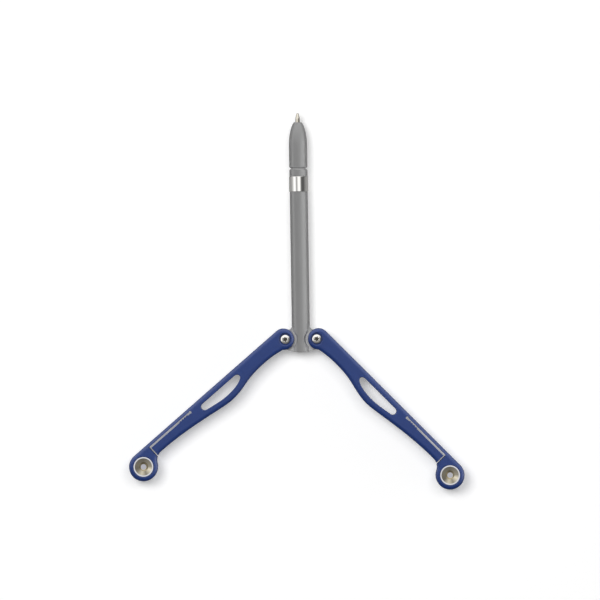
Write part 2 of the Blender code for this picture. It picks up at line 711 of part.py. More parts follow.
def make_pivot(name, hinge):
    """Screw from the front, sleeve nut from the back, and a washer each side of the lug."""
    top = HANDLE_FACE - HEAD_RECESS
    seat = SEAT_FACE + FIT_GAP
    screw_end = seat - SCREW_LENGTH
    screw = domed_head(seat, top)
    screw += [(SCREW_RADIUS, seat), (SCREW_RADIUS, screw_end), (0, screw_end)]
    head = turned(name + "_pivot_screw", screw, FITTING_FACETS, hinge, STEEL)
    key = cylinder(name + "_screw_key", SOCKET_RADIUS, top - SOCKET_DEPTH, top + OVERCUT, KEY_SIDES, hinge)
    combine(head, "DIFFERENCE", key)

    sleeve_end = -SEAT_FACE
    thread = SCREW_RADIUS + FIT_GAP
    nut = domed_head(seat, top)
    nut += [
        (SLEEVE_RADIUS, seat),
        (SLEEVE_RADIUS, sleeve_end),
        (thread, sleeve_end),
        (thread, -screw_end + FIT_GAP),
        (0, -screw_end + FIT_GAP),
    ]
    nut_obj = turned(name + "_pivot_nut", nut, FITTING_FACETS, hinge, STEEL, turn=(pi, 0, 0))
    key = cylinder(name + "_nut_key", SOCKET_RADIUS, -top - OVERCUT, SOCKET_DEPTH - top, KEY_SIDES, hinge)
    combine(nut_obj, "DIFFERENCE", key)

    low = LUG_FACE + FIT_GAP
    outer = LUG_RADIUS - WASHER_MARGIN
    ring = [
        (SLEEVE_BORE, low + WASHER_THICKNESS),
        (outer, low + WASHER_THICKNESS),
        (outer, low),
        (SLEEVE_BORE, low),
    ]
    turned(name + "_front_washer", ring, FITTING_FACETS, hinge, BRONZE)
    turned(name + "_rear_washer", ring, FITTING_FACETS, hinge, BRONZE, turn=(pi, 0, 0))


def shade_evenly():
    """Round faces shade smoothly and flat ones stay flat."""
    for obj in PARTS.objects:
        if obj.type == "MESH":
            obj.modifiers.new("even_shading", "WEIGHTED_NORMAL")


def main():
    centre = resting_centre()
    pen = frame_empty("pen_frame", None, (-centre[0], -centre[1], HANDLE_FACE))
    make_barrel(pen)
    make_ferrule(pen)
    make_nose(pen)
    make_refill(pen)
    for side, name in ((-1, "left"), (1, "right")):
        at = (side * PIVOT_OFFSET, 0, 0)
        hinge = frame_empty(name + "_hinge", pen, at, handle_direction(side))
        make_handle(name, side, hinge)
        make_weights(name, hinge)
        make_pivot(name, hinge)
    shade_evenly()


main()
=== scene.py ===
import json
from math import acos, asin, atan2, cos, hypot, pi, radians, sin, sqrt, tan

import bmesh
import bpy
from mathutils import Matrix, Vector


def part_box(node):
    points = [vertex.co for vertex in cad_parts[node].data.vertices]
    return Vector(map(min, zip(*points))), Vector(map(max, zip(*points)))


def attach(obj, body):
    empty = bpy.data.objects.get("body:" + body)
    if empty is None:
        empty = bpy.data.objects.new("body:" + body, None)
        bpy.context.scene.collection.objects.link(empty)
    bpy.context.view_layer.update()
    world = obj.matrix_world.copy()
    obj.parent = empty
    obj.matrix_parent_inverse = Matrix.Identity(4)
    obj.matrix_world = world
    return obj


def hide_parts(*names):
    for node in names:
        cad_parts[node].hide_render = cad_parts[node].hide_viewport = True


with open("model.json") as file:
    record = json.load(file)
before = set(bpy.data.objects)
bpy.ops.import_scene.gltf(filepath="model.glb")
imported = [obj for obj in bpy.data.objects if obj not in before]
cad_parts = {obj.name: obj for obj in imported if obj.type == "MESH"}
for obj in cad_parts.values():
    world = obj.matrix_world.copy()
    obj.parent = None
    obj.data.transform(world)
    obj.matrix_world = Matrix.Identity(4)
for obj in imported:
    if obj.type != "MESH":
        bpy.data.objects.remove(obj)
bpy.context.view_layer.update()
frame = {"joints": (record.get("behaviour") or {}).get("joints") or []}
mm = 0.001
fit = 0.05  # room round a seated piece, mm
over = 2.0  # how far a cutter reaches past a face, mm
scene = bpy.context.scene

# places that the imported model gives: the pen's axis, the two pivots and the way each handle points
joints = {joint["name"]: joint for joint in frame["joints"]}
pivots = {side: Vector(joints[side + "_handle_swing"]["pos_m"]) for side in ("left", "right")}
penOrigin = (pivots["left"] + pivots["right"]) / 2
penPlace = Matrix.Translation(penOrigin) @ Matrix.Rotation(-pi / 2, 4, "X")  # turned pieces lie along +Y
armPlaces = {}
for side, pivot in pivots.items():
    low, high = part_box(side + "_front_weight")
    towardsEye = (low + high) / 2 - pivot
    armPlaces[side] = Matrix.Translation(pivot) @ Matrix.Rotation(atan2(towardsEye.y, towardsEye.x), 4, "Z")
sideSigns = {"left": -1, "right": 1}
print("frame: pen origin", [round(x / mm, 2) for x in penOrigin])


def linearColour(hexText):
    channels = [int(hexText[i : i + 2], 16) / 255 for i in (1, 3, 5)]
    linear = [c / 12.92 if c <= 0.04045 else ((c + 0.055) / 1.055) ** 2.4 for c in channels]
    return (*linear, 1.0)


def addNode(tree, kind, settings=None, links=None):
    node = tree.nodes.new(kind)
    for key, value in (settings or {}).items():
        if isinstance(key, int) or key in node.inputs:
            node.inputs[key].default_value = value
        else:
            setattr(node, key, value)
    for socket, source in (links or {}).items():
        tree.links.new(source, node.inputs[socket])
    return node


def newFinish(name, settings):
    material = bpy.data.materials.new(name)
    material.use_nodes = True
    shader = material.node_tree.nodes["Principled BSDF"]
    for key, value in settings.items():
        shader.inputs[key].default_value = value
    return material, material.node_tree, shader


def perMetre(millimetres):
    return 1 / (millimetres * mm)  # texture scale for a pattern of this real size


def objectNoise(tree, size, detail):
    where = addNode(tree, "ShaderNodeTexCoord")
    noise = addNode(tree, "ShaderNodeTexNoise", {"Scale": perMetre(size), "Detail": detail},
                    {"Vector": where.outputs["Object"]})
    return noise.outputs["Fac"]


def twoTone(tree, sizes, factor):  # a finish's two tones, mixed by a pattern
    tones = {"data_type": "RGBA", 6: linearColour(sizes["deep"]), 7: linearColour(sizes["light"])}
    return addNode(tree, "ShaderNodeMix", tones, {"Factor": factor}).outputs[2]


def overlaid(tree, under, colour, factor):
    mix = addNode(tree, "ShaderNodeMix", {"data_type": "RGBA", 7: linearColour(colour)}, {"Factor": factor, 6: under})
    return mix.outputs[2]


def within(tree, value, low, high):  # one between two values, else none
    limits = {"operation": "COMPARE", 1: (low + high) / 2, 2: (high - low) / 2}
    return addNode(tree, "ShaderNodeMath", limits, {0: value}).outputs[0]


def dressShader(tree, shader, sizes, tint, pattern):  # the colour, and the roughness and relief that a pattern leaves
    tree.links.new(tint, shader.inputs["Base Color"])
    if isinstance(sizes["rough"], tuple):
        low, high = sizes["rough"]
        rough = addNode(tree, "ShaderNodeMapRange", {"To Min": low, "To Max": high}, {"Value": pattern})
        tree.links.new(rough.outputs[0], shader.inputs["Roughness"])
    else:
        shader.inputs["Roughness"].default_value = sizes["rough"]
    if "relief" in sizes:
        strength, depth = sizes["relief"]
        relief = addNode(tree, "ShaderNodeBump", {"Strength": strength, "Distance": depth * mm}, {"Height": pattern})
        tree.links.new(relief.outputs[0], shader.inputs["Normal"])


# Moulded satin ABS: the fine spark-eroded grain of the mould breaks the gloss into a soft even sheen
satin = dict(light="#0C2B66", deep="#09275E", grain=0.35, cloud=9.0, rough=(0.34, 0.44), relief=(0.25, 0.03))
blueAbs, tree, shader = newFinish("satinMouldedBlueAbs", {"IOR": 1.54, "Specular IOR Level": 0.48})
tint = twoTone(tree, satin, objectNoise(tree, satin["cloud"], detail=2.0))
dressShader(tree, shader, satin, tint, objectNoise(tree, satin["grain"], detail=3.0))

# Moulded semi-gloss ABS: a polished mould leaves faint draw lines along the pen. The low faces of the tang and the
# walls of the nose groove are painted paler: painted light that lifts the shade the handle ears and the groove cast
# there
drawn = dict(light="#838383", deep="#7B7B7B", across=0.5, along=30.0, rough=(0.30, 0.38), relief=(0.15, 0.02),
             paintedLight="#AAAAAA", paintedLightBelow=3.4, paintedLightEnd=4.3, paintedLightFrom=3.0, paintedLightTo=6.5, groove=88.9, paintedLightWalls=(-0.7, 0.9),
             paintedLightWallShare=0.5)
greyAbs, tree, shader = newFinish("polishedMouldedGreyAbs", {"IOR": 1.54})
where = addNode(tree, "ShaderNodeTexCoord").outputs["Object"]
across, along = perMetre(drawn["across"]), perMetre(drawn["along"])
stretch = addNode(tree, "ShaderNodeMapping", {"Scale": (across, along, across)}, {"Vector": where})
drawLines = addNode(tree, "ShaderNodeTexNoise", {"Scale": 1.0, "Detail": 2.0}, {"Vector": stretch.outputs[0]})
lines = drawLines.outputs["Fac"]
parts = addNode(tree, "ShaderNodeSeparateXYZ", None, {0: where})
above = addNode(tree, "ShaderNodeMath", {"operation": "SUBTRACT", 1: penOrigin.z}, {0: parts.outputs["Z"]})
height = addNode(tree, "ShaderNodeMath", {"operation": "ABSOLUTE"}, {0: above.outputs[0]})
low = addNode(tree, "ShaderNodeMapRange", {"From Min": drawn["paintedLightEnd"] * mm, "From Max": drawn["paintedLightBelow"] * mm},
              {"Value": height.outputs[0]})
tailFrom, tailTo = [penOrigin.y + drawn[end] * mm for end in ("paintedLightTo", "paintedLightFrom")]
tail = addNode(tree, "ShaderNodeMapRange", {"From Min": tailFrom, "From Max": tailTo}, {"Value": parts.outputs["Y"]})
paintedLightOnTang = addNode(tree, "ShaderNodeMath", {"operation": "MULTIPLY"}, {0: low.outputs[0], 1: tail.outputs[0]})
wallFrom, wallTo = [penOrigin.y + (drawn["groove"] + ahead) * mm for ahead in drawn["paintedLightWalls"]]
paintedLightShare = addNode(tree, "ShaderNodeMath", {"operation": "MULTIPLY_ADD", 1: drawn["paintedLightWallShare"]},
                {0: within(tree, parts.outputs["Y"], wallFrom, wallTo), 2: paintedLightOnTang.outputs[0]})
# painted light: a pale tone over the tang's low faces, and at half strength over the groove walls
tint = overlaid(tree, twoTone(tree, drawn, lines), drawn["paintedLight"], paintedLightShare.outputs[0])
dressShader(tree, shader, drawn, tint, lines)


# Turned metals read the map of a turned piece: across it is the turn, up it is the way along the profile in mm.
# Zones give another colour between two stations of that way
def turnedMetal(name, sizes):
    material, tree, shader = newFinish(name, {"Metallic": 1.0})
    turnMap = addNode(tree, "ShaderNodeUVMap", {"uv_map": "turned"}).outputs[0]
    stretch = addNode(tree, "ShaderNodeMapping", {"Scale": (sizes["around"], 1 / sizes["pitch"], 1.0)},
                      {"Vector": turnMap})
    marks = addNode(tree, "ShaderNodeTexNoise", {"Scale": 1.0, "Detail": 2.0}, {"Vector": stretch.outputs[0]})
    tint = twoTone(tree, sizes, marks.outputs["Fac"])
    along = addNode(tree, "ShaderNodeSeparateXYZ", None, {0: turnMap}).outputs["Y"]
    for low, high, colour in sizes.get("zones", ()):
        tint = overlaid(tree, tint, colour, within(tree, along, low, high))
    dressShader(tree, shader, sizes, tint, marks.outputs["Fac"])
    return material


# Chrome plate over polished brass: a mirror, with hairlines along the pen from polishing
chromePlate = turnedMetal("polishedChromePlate", dict(
    light="#E6E5E2", deep="#DAD9D6", around=160.0, pitch=9.0, rough=0.0, relief=(0.04, 0.02)))
# Turned stainless steel: polished over fine tool rings, warm in the dish and neutral on its flat floor and rim
turnedSteel = turnedMetal("turnedStainlessSteel", dict(
    light="#CFC8B6", deep="#B9B19C", around=3.0, pitch=0.16, rough=0.0, relief=(0.12, 0.02),
    zones=[(-0.1, 1.42, "#9C9CA2"), (5.2, 8.5, "#BCBCC0")]))
# Nickel plated screw steel: tumbled bright, then plated; its recess is painted dark, a painted shade for the dark of a
# deep recess
recessShadeMapAt = -5.0  # outside every profile's own way along
nickelPlate = turnedMetal("tumbledNickelPlate", dict(
    light="#EAE8E4", deep="#DAD7D0", around=24.0, pitch=0.5, rough=0.0, relief=(0.05, 0.02),
    zones=[(recessShadeMapAt - 1, recessShadeMapAt + 1, "#3A3835")]))
# Turned nickel silver: the yellowish white alloy of ball points, polished over fine tool rings
nickelSilver = turnedMetal("turnedNickelSilver", dict(
    light="#D6D0C4", deep="#C4BEB2", around=2.0, pitch=0.12, rough=0.0, relief=(0.08, 0.02)))
# Drawn brass tube: draw lines along its length
drawnBrass = turnedMetal("drawnBrass", dict(
    light="#D8B66A", deep="#C9A456", around=140.0, pitch=20.0, rough=(0.22, 0.32), relief=(0.05, 0.02)))
# Stamped phosphor bronze sheet: rolled, then tumbled dull
stampedBronze = turnedMetal("stampedPhosphorBronze", dict(
    light="#B98A57", deep="#A87845", around=30.0, pitch=0.4, rough=(0.30, 0.42), relief=(0.08, 0.02)))
# Lapped tungsten carbide: dark grey and fine
lappedCarbide = turnedMetal("lappedTungstenCarbide", dict(
    light="#8E9094", deep="#84868A", around=10.0, pitch=0.1, rough=(0.06, 0.12), relief=(0.02, 0.02)))
# Moulded acetal: black, waxy and slightly mottled
waxy = dict(light="#1F1F21", deep="#161617", mottle=0.8, rough=(0.4, 0.5))
blackAcetal, tree, shader = newFinish("mouldedBlackAcetal", {"IOR": 1.48})
mottle = objectNoise(tree, waxy["mottle"], detail=3.0)
dressShader(tree, shader, waxy, twoTone(tree, waxy, mottle), mottle)
print("finishes:", len(bpy.data.materials))


def arcPoints(centre, radii, start, end, facets=120):
    rx, ry = radii if isinstance(radii, tuple) else (radii, radii)
    count = max(2, round(facets * abs(end - start) / (2 * pi)))
    angles = [start + (end - start) * i / count for i in range(count + 1)]
    return [(centre[0] + rx * cos(a), centre[1] + ry * sin(a)) for a in angles]


def curvePoints(p0, p1, p2, p3, count=40):
    points = []
    for i in range(count + 1):
        t = i / count
        shares = ((1 - t) ** 3, 3 * t * (1 - t) ** 2, 3 * t * t * (1 - t), t**3)
        points.append(tuple(sum(w * p[k] for w, p in zip(shares, (p0, p1, p2, p3))) for k in (0, 1)))
    return points


def withoutRepeats(points, gap=0.004):
    kept = [points[0]]
    for point in points[1:]:
        if hypot(point[0] - kept[-1][0], point[1] - kept[-1][1]) > gap:
            kept.append(point)
    if hypot(kept[0][0] - kept[-1][0], kept[0][1] - kept[-1][1]) < gap:
        kept.pop()
    return kept


def insetPoints(points, inset, sharpest=0.4):  # anticlockwise outline moved inwards, or outwards by a negative inset
    moved = []
    for before, here, after in zip(points[-1:] + points[:-1], points, points[1:] + points[:1]):
        normals = []
        for a, b in ((before, here), (here, after)):
            size = hypot(b[0] - a[0], b[1] - a[1])
            normals.append(((a[1] - b[1]) / size, (b[0] - a[0]) / size))
        (ax, ay), (bx, by) = normals
        reach = inset / max(sharpest, 1 + ax * bx + ay * by)
        moved.append((here[0] + reach * (ax + bx), here[1] + reach * (ay + by)))
    return moved


def roundedLevels(face, depth, width, steps):  # heights and insets up a slab with rounded rims
    upper = []
    for i in range(steps + 1):
        a = pi / 2 * i / steps
        upper.append((face - depth + depth * sin(a), width - width * cos(a)))
    return [(-z, inset) for z, inset in reversed(upper)] + upper


def flaredLevels(face, radius, steps):  # the same for a cutter that rounds the edges it leaves
    upper = []
    for i in range(1, steps + 1):
        a = pi / 2 * i / steps
        upper.append((face - radius + radius * sin(a), -(radius - radius * cos(a))))
    upper.append((face + over, -radius))
    return [(-z, inset) for z, inset in reversed(upper)] + upper


def slab(outline, levels, mirror=1):
    bm = bmesh.new()
    rings = []
    for z, inset in levels:
        points = insetPoints(outline, inset) if inset else outline
        rings.append([bm.verts.new((u * mm, mirror * v * mm, z * mm)) for u, v in points])
    for lower, upper in zip(rings[:-1], rings[1:]):
        for i in range(len(lower)):
            j = (i + 1) % len(lower)
            bm.faces.new((lower[i], lower[j], upper[j], upper[i]))
    bm.faces.new(list(reversed(rings[0])))
    bm.faces.new(rings[-1])
    bmesh.ops.recalc_face_normals(bm, faces=bm.faces)
    mesh = bpy.data.meshes.new("slab")
    bm.to_mesh(mesh)
    bm.free()
    return mesh


def softened(profile, steps=4, most=0.45):  # corners given as (radius, height, edge) become small round edges
    count = len(profile)
    points = []
    for i, corner in enumerate(profile):
        edge = corner[2] if len(corner) > 2 else 0
        if not edge:
            points.append(corner[:2])
            continue
        here = Vector(corner[:2])
        back = Vector(profile[i - 1][:2]) - here
        on = Vector(profile[(i + 1) % count][:2]) - here
        reach = min(edge / tan(back.angle(on) / 2), most * back.length, most * on.length)
        first = here + back.normalized() * reach
        last = here + on.normalized() * reach
        for k in range(steps + 1):
            t = k / steps
            point = (1 - t) ** 2 * first + 2 * t * (1 - t) * here + t * t * last
            points.append((point.x, point.y))
    return points


def turned(profile, facets=96, onAxis=1e-6):  # solid of revolution about Z, mapped for the turned metals
    points = softened(profile)
    bored = points[0][0] > 0
    bm = bmesh.new()
    turnMap = bm.loops.layers.uv.new("turned")
    rings = []
    for radius, height in points:
        if radius < onAxis:
            rings.append([bm.verts.new((0, 0, height * mm))] * facets)
            continue
        turns = [2 * pi * i / facets for i in range(facets)]
        rings.append([bm.verts.new((radius * mm * cos(a), radius * mm * sin(a), height * mm)) for a in turns])
    along = [0.0]
    pairs = [(i, i + 1) for i in range(len(points) - 1)] + ([(len(points) - 1, 0)] if bored else [])
    for a, b in pairs:
        along.append(along[-1] + hypot(points[b][0] - points[a][0], points[b][1] - points[a][1]))
    for step, (a, b) in enumerate(pairs):
        for i in range(facets):
            j = (i + 1) % facets
            spots = [(rings[a][i], i, step), (rings[b][i], i, step + 1), (rings[b][j], i + 1, step + 1),
                     (rings[a][j], i + 1, step)]
            corners = []
            for spot in spots:
                if spot[0] not in [c[0] for c in corners]:
                    corners.append(spot)
            if len(corners) < 3:
                continue
            face = bm.faces.new([c[0] for c in corners])
            for loop, corner in zip(face.loops, corners):
                loop[turnMap].uv = (corner[1] / facets, along[corner[2]])
    bmesh.ops.recalc_face_normals(bm, faces=bm.faces)
    mesh = bpy.data.meshes.new("turned")
    bm.to_mesh(mesh)
    bm.free()
    return mesh


def placed(mesh, matrix):
    copy = mesh.copy()
    copy.transform(matrix)
    if matrix.determinant() < 0:
        copy.flip_normals()
    return copy


def evaluated(obj):
    scene.collection.objects.link(obj)
    graph = bpy.context.evaluated_depsgraph_get()
    mesh = bpy.data.meshes.new_from_object(obj.evaluated_get(graph))
    bpy.data.objects.remove(obj)
    return mesh


def carved(mesh, *cuts):  # cuts are (operation, mesh) pairs, taken in order
    base = bpy.data.objects.new("work", mesh)
    helpers = []
    for operation, other in cuts:
        helper = bpy.data.objects.new("cutter", other)
        scene.collection.objects.link(helper)
        helpers.append(helper)
        boolean = base.modifiers.new("cut", "BOOLEAN")
        boolean.operation = operation
        boolean.solver = "EXACT"
        boolean.object = helper
    result = evaluated(base)
    for helper in helpers:
        bpy.data.objects.remove(helper)
    return result


def finishPiece(name, mesh, material, body, nodes, sharp=32, weld=0.0005):
    bm = bmesh.new()
    bm.from_mesh(mesh)
    bmesh.ops.remove_doubles(bm, verts=bm.verts, dist=weld * mm)
    bmesh.ops.dissolve_degenerate(bm, edges=bm.edges, dist=weld * mm)
    bm.to_mesh(mesh)
    bm.free()
    mesh.shade_smooth()
    mesh.set_sharp_from_angle(angle=radians(sharp))
    mesh.materials.clear()
    mesh.materials.append(material)
    work = bpy.data.objects.new("work", mesh)
    even = work.modifiers.new("evenShading", "WEIGHTED_NORMAL")
    even.keep_sharp = True
    final = evaluated(work)
    final.name = name
    piece = bpy.data.objects.new(name, final)
    scene.collection.objects.link(piece)
    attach(piece, body)
    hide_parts(*nodes)


# Pen body: stations along the pen from the line of the pivots
pen = dict(barrel=4.7, neck=4.3, thread=3.65, bore=3.05, mouth=84.8, ferruleFoot=76.8, stop=10.4, threadFoot=76.5,
           ribEnd=-9.0, mouthEdge=0.1, neckEdge=0.12)
tang = dict(offset=8.2, lug=4.6, half=2.5, drop=6.95, flare=4.0, flareInset=0.75, edge=0.25, hole=2.05, scoop=6.0,
            scoopFrom=2.9, scoopLean=0.4, skin=0.01, cutTo=8.0, ribShort=0.06, trimTurn=0.5, trimDepth=27.0)
bow = (tang["offset"] ** 2 + tang["drop"] ** 2 - tang["lug"] ** 2) / (2 * (tang["drop"] - tang["lug"]))
bowAt = (0, bow - tang["drop"])  # the tang's end is an arc that runs on from both lugs


def tangOutline():
    flareAt = pen["barrel"] - tang["flareInset"] + tang["flare"]
    flareHeight = sqrt((tang["lug"] + tang["flare"]) ** 2 - (flareAt - tang["offset"]) ** 2)
    touch = atan2(-bowAt[1], tang["offset"])
    lugEnd = atan2(flareHeight, flareAt - tang["offset"])
    half = arcPoints(bowAt, bow, -pi / 2, touch, facets=480)
    half += arcPoints((tang["offset"], 0), tang["lug"], touch, lugEnd)
    half += arcPoints((flareAt, flareHeight), tang["flare"], lugEnd + pi, pi)
    return withoutRepeats(half + [(-x, y) for x, y in reversed(half)])


upright = Matrix.Rotation(pi / 2, 4, "X")  # brings the flat tang into the turned pieces' frame
neckEnd, boreEnd = pen["mouth"] - fit, pen["mouth"] + over
body = turned([(0, neckEnd), (pen["neck"], neckEnd, pen["mouthEdge"]), (pen["neck"], pen["ferruleFoot"]),
               (pen["barrel"], pen["ferruleFoot"], pen["neckEdge"]), (pen["barrel"], pen["ribEnd"]),
               (0, pen["ribEnd"])], facets=128)
bore = turned([(0, boreEnd), (pen["thread"], boreEnd), (pen["thread"], pen["threadFoot"]),
               (pen["bore"], pen["threadFoot"]), (pen["bore"], pen["stop"]), (0, pen["stop"])])
plate = placed(slab(tangOutline(), roundedLevels(tang["half"], tang["edge"], tang["edge"], steps=4)), upright)
# The rib ends just short of the plate's bow
trimEnds = (-pi / 2 + tang["trimTurn"], -pi / 2 - tang["trimTurn"])
ribTrim = arcPoints(bowAt, bow - tang["ribShort"], *trimEnds, facets=480)
ribTrim += [(ribTrim[-1][0], -tang["trimDepth"]), (ribTrim[0][0], -tang["trimDepth"])]
cutTo, plateTop = tang["cutTo"], tang["half"] + tang["skin"]
trimmer = placed(slab(ribTrim, [(-cutTo, 0), (cutTo, 0)]), upright)
cuts = [("DIFFERENCE", trimmer), ("UNION", plate), ("DIFFERENCE", bore)]
for sign in (-1, 1):
    at = upright @ Matrix.Translation((sign * tang["offset"] * mm, 0, 0))
    for low, high in ((plateTop, cutTo), (-cutTo, -plateTop)):
        wide, narrow = (tang["scoop"] + tang["scoopLean"] * (abs(z) - tang["scoopFrom"]) for z in (high, low))
        scoop = turned([(0, high), (wide, high), (narrow, low), (0, low)])
        cuts.append(("DIFFERENCE", placed(scoop, at)))
    hole = turned([(0, cutTo), (tang["hole"], cutTo), (tang["hole"], -cutTo), (0, -cutTo)], facets=64)
    cuts.append(("DIFFERENCE", placed(hole, at)))
finishPiece("barrelMoulding", placed(carved(body, *cuts), penPlace), greyAbs, "pen", ["barrel"])
print("barrel and tang done")

ferrule = dict(radius=5.0, bore=4.35, foot=76.85, edge=0.22)
ring = turned([(ferrule["bore"], pen["mouth"]), (ferrule["radius"], pen["mouth"], ferrule["edge"]),
               (ferrule["radius"], ferrule["foot"], ferrule["edge"]), (ferrule["bore"], ferrule["foot"])], facets=160)
finishPiece("ferruleRing", placed(ring, penPlace), chromePlate, "pen", ["ferrule"])

# Nose: ogive, V-groove, and a threaded spigot that shows when it is unscrewed
nose = dict(radius=4.75, front=2.1, frontAt=113.0, ogive=12.0, hole=1.275, lip=0.02, groove=drawn["groove"],
            grooveWidth=1.5, grooveDepth=0.95, grooveLean=0.2, spigot=3.34, crest=3.59, spigotFoot=76.8, bore=3.05,
            shoulderAt=98.7, taper=2.0, seat=1.75, seatEnd=102.8, holeEdge=0.1, frontEdge=0.25, grooveEdge=0.18,
            grooveFloorEdge=0.12, rimEdge=0.2, spigotEdge=0.08)
reach = nose["ogive"] / sqrt(1 - (nose["front"] / nose["radius"]) ** 2)
ogive = arcPoints((0, 0), (reach, nose["radius"]), asin(nose["front"] / nose["radius"]), pi / 2, facets=160)
noseFoot, halfGroove = pen["mouth"] + fit, nose["grooveWidth"] / 2
shape = [(nose["hole"], nose["frontAt"], nose["holeEdge"]),
         (nose["front"] - nose["lip"], nose["frontAt"], nose["frontEdge"])]
shape += [(radius, nose["frontAt"] - nose["ogive"] + ahead) for ahead, radius in ogive[1:]]
shape += [(nose["radius"], nose["groove"] + halfGroove, nose["grooveEdge"]),
          (nose["radius"] - nose["grooveDepth"], nose["groove"] + nose["grooveLean"], nose["grooveFloorEdge"]),
          (nose["radius"], nose["groove"] - halfGroove, nose["grooveEdge"]),
          (nose["radius"], noseFoot, nose["rimEdge"]), (nose["spigot"], noseFoot),
          (nose["spigot"], nose["spigotFoot"], nose["spigotEdge"]), (nose["bore"], nose["spigotFoot"]),
          (nose["bore"], nose["shoulderAt"]), (nose["seat"], nose["shoulderAt"] + nose["taper"]),
          (nose["seat"], nose["seatEnd"]), (nose["hole"], nose["seatEnd"])]
noseMesh = turned(shape, facets=128)
finishPiece("noseMoulding", placed(noseMesh, penPlace), greyAbs, "nose", ["nose_cone"])


def nodeTree(name, sizes):  # geometry tree with one named input for each size
    tree = bpy.data.node_groups.new(name, "GeometryNodeTree")
    tree.interface.new_socket("Geometry", in_out="OUTPUT", socket_type="NodeSocketGeometry")
    for label, value in sizes.items():
        kind = "NodeSocketInt" if isinstance(value, int) else "NodeSocketFloat"
        tree.interface.new_socket(label, in_out="INPUT", socket_type=kind)
    tree.interface.new_socket("Material", in_out="INPUT", socket_type="NodeSocketMaterial")
    start = addNode(tree, "NodeGroupInput")
    return tree, start


def grown(tree, sizes, material):  # plain mesh that the tree makes from these sizes
    obj = bpy.data.objects.new("work", bpy.data.meshes.new("work"))
    modifier = obj.modifiers.new("grow", "NODES")
    modifier.node_group = tree
    values = {**sizes, "Material": material}
    for item in tree.interface.items_tree:
        if item.in_out == "INPUT":
            modifier[item.identifier] = values[item.name]
    return evaluated(obj)


def closeTree(tree, start, geometry):  # puts out real geometry in the given material
    real = addNode(tree, "GeometryNodeRealizeInstances", None, {0: geometry})
    dressed = addNode(tree, "GeometryNodeSetMaterial", None,
                      {"Geometry": real.outputs[0], "Material": start.outputs["Material"]})
    addNode(tree, "NodeGroupOutput", None, {0: dressed.outputs[0]})


# Spigot thread: a ridge that follows a helix
thread = dict(pitch=1.0, turns=6.0, foot=77.4, flank=0.36, sunk=0.5)
threadSizes = {"Pitch": thread["pitch"] * mm, "Turns": thread["turns"], "Flank": thread["flank"] * mm,
               "Radius": (nose["crest"] - thread["sunk"] * thread["flank"]) * mm}
tree, start = nodeTree("spigotThread", threadSizes)
rise = addNode(tree, "ShaderNodeMath", {"operation": "MULTIPLY"},
               {0: start.outputs["Pitch"], 1: start.outputs["Turns"]})
helix = addNode(tree, "GeometryNodeCurveSpiral", {"Resolution": 48},
                {"Rotations": start.outputs["Turns"], "Start Radius": start.outputs["Radius"],
                 "End Radius": start.outputs["Radius"], "Height": rise.outputs[0]})
upwards = addNode(tree, "GeometryNodeSetCurveNormal", {"mode": "Z_UP"}, {"Curve": helix.outputs[0]})
section = addNode(tree, "GeometryNodeCurvePrimitiveCircle", {"Resolution": 6}, {"Radius": start.outputs["Flank"]})
ridge = addNode(tree, "GeometryNodeCurveToMesh", {"Fill Caps": True},
                {"Curve": upwards.outputs[0], "Profile Curve": section.outputs[0]})
closeTree(tree, start, ridge.outputs[0])
ridgeMesh = placed(grown(tree, threadSizes, greyAbs), Matrix.Translation((0, 0, thread["foot"] * mm)))
finishPiece("noseThread", placed(ridgeMesh, penPlace), greyAbs, "nose", [])
print("nose and thread done")

# Refill: brass tube, acetal plug, metal point and carbide ball
refill = dict(radius=2.95, wall=0.35, foot=12.25, shoulder=98.7, taper=2.0, neck=1.65, neckEnd=102.7, stem=0.85,
              neckEdge=0.15, taperEdge=0.3, shoulderEdge=0.4, footEdge=0.1)
taperEnd, inside = refill["shoulder"] + refill["taper"], refill["radius"] - refill["wall"]
tube = turned([(refill["stem"], refill["neckEnd"]), (refill["neck"], refill["neckEnd"], refill["neckEdge"]),
               (refill["neck"], taperEnd, refill["taperEdge"]),
               (refill["radius"], refill["shoulder"], refill["shoulderEdge"]),
               (refill["radius"], refill["foot"], refill["footEdge"]), (inside, refill["foot"]),
               (inside, refill["shoulder"] - refill["wall"]), (refill["stem"], taperEnd - refill["wall"])],
              facets=64)
finishPiece("refillTube", placed(tube, penPlace), drawnBrass, "refill", ["refill_tube"])
plug = dict(stemEnd=15.2, head=12.2, foot=10.7, stem=2.55, stemEdge=0.2, headEdge=0.1, footEdge=0.3)
plugMesh = turned([(0, plug["stemEnd"]), (plug["stem"], plug["stemEnd"], plug["stemEdge"]),
                   (plug["stem"], plug["head"]), (refill["radius"], plug["head"], plug["headEdge"]),
                   (refill["radius"], plug["foot"], plug["footEdge"]), (0, plug["foot"])], facets=64)
finishPiece("refillTailPlug", placed(plugMesh, penPlace), blackAcetal, "refill", ["refill_tail_plug"])
point = dict(tip=117.9, show=0.3, ball=0.5, cup=0.53, rim=0.6, radius=1.175, taper=2.9, stemTop=102.75, stem=0.8,
             stemLength=4.5, ink=0.3, rimEdge=0.04, taperEdge=0.3, stemEdge=0.1)
ballAt, stemFoot = point["tip"] - point["ball"], point["stemTop"] - point["stemLength"]
cup = arcPoints((ballAt, 0), point["cup"], pi - asin(point["ink"] / point["cup"]),
                acos((point["ball"] - point["show"]) / point["cup"]), facets=64)
pointShape = [(point["rim"], point["tip"] - point["show"], point["rimEdge"]),
              (point["radius"], point["tip"] - point["taper"], point["taperEdge"]),
              (point["radius"], point["stemTop"], point["stemEdge"]), (point["stem"], point["stemTop"]),
              (point["stem"], stemFoot, point["stemEdge"]), (point["ink"], stemFoot)]
pointMesh = turned(pointShape + [(r, h) for h, r in cup], facets=64)
finishPiece("refillPoint", placed(pointMesh, penPlace), nickelSilver, "refill", ["refill_point"])
ballArc = arcPoints((ballAt, 0), point["ball"], 0, pi, facets=48)
ballMesh = turned([(max(0.0, r), h) for h, r in ballArc], facets=48)
finishPiece("writingBall", placed(ballMesh, penPlace), lappedCarbide, "ball", ["writing_ball"])
print("refill done")

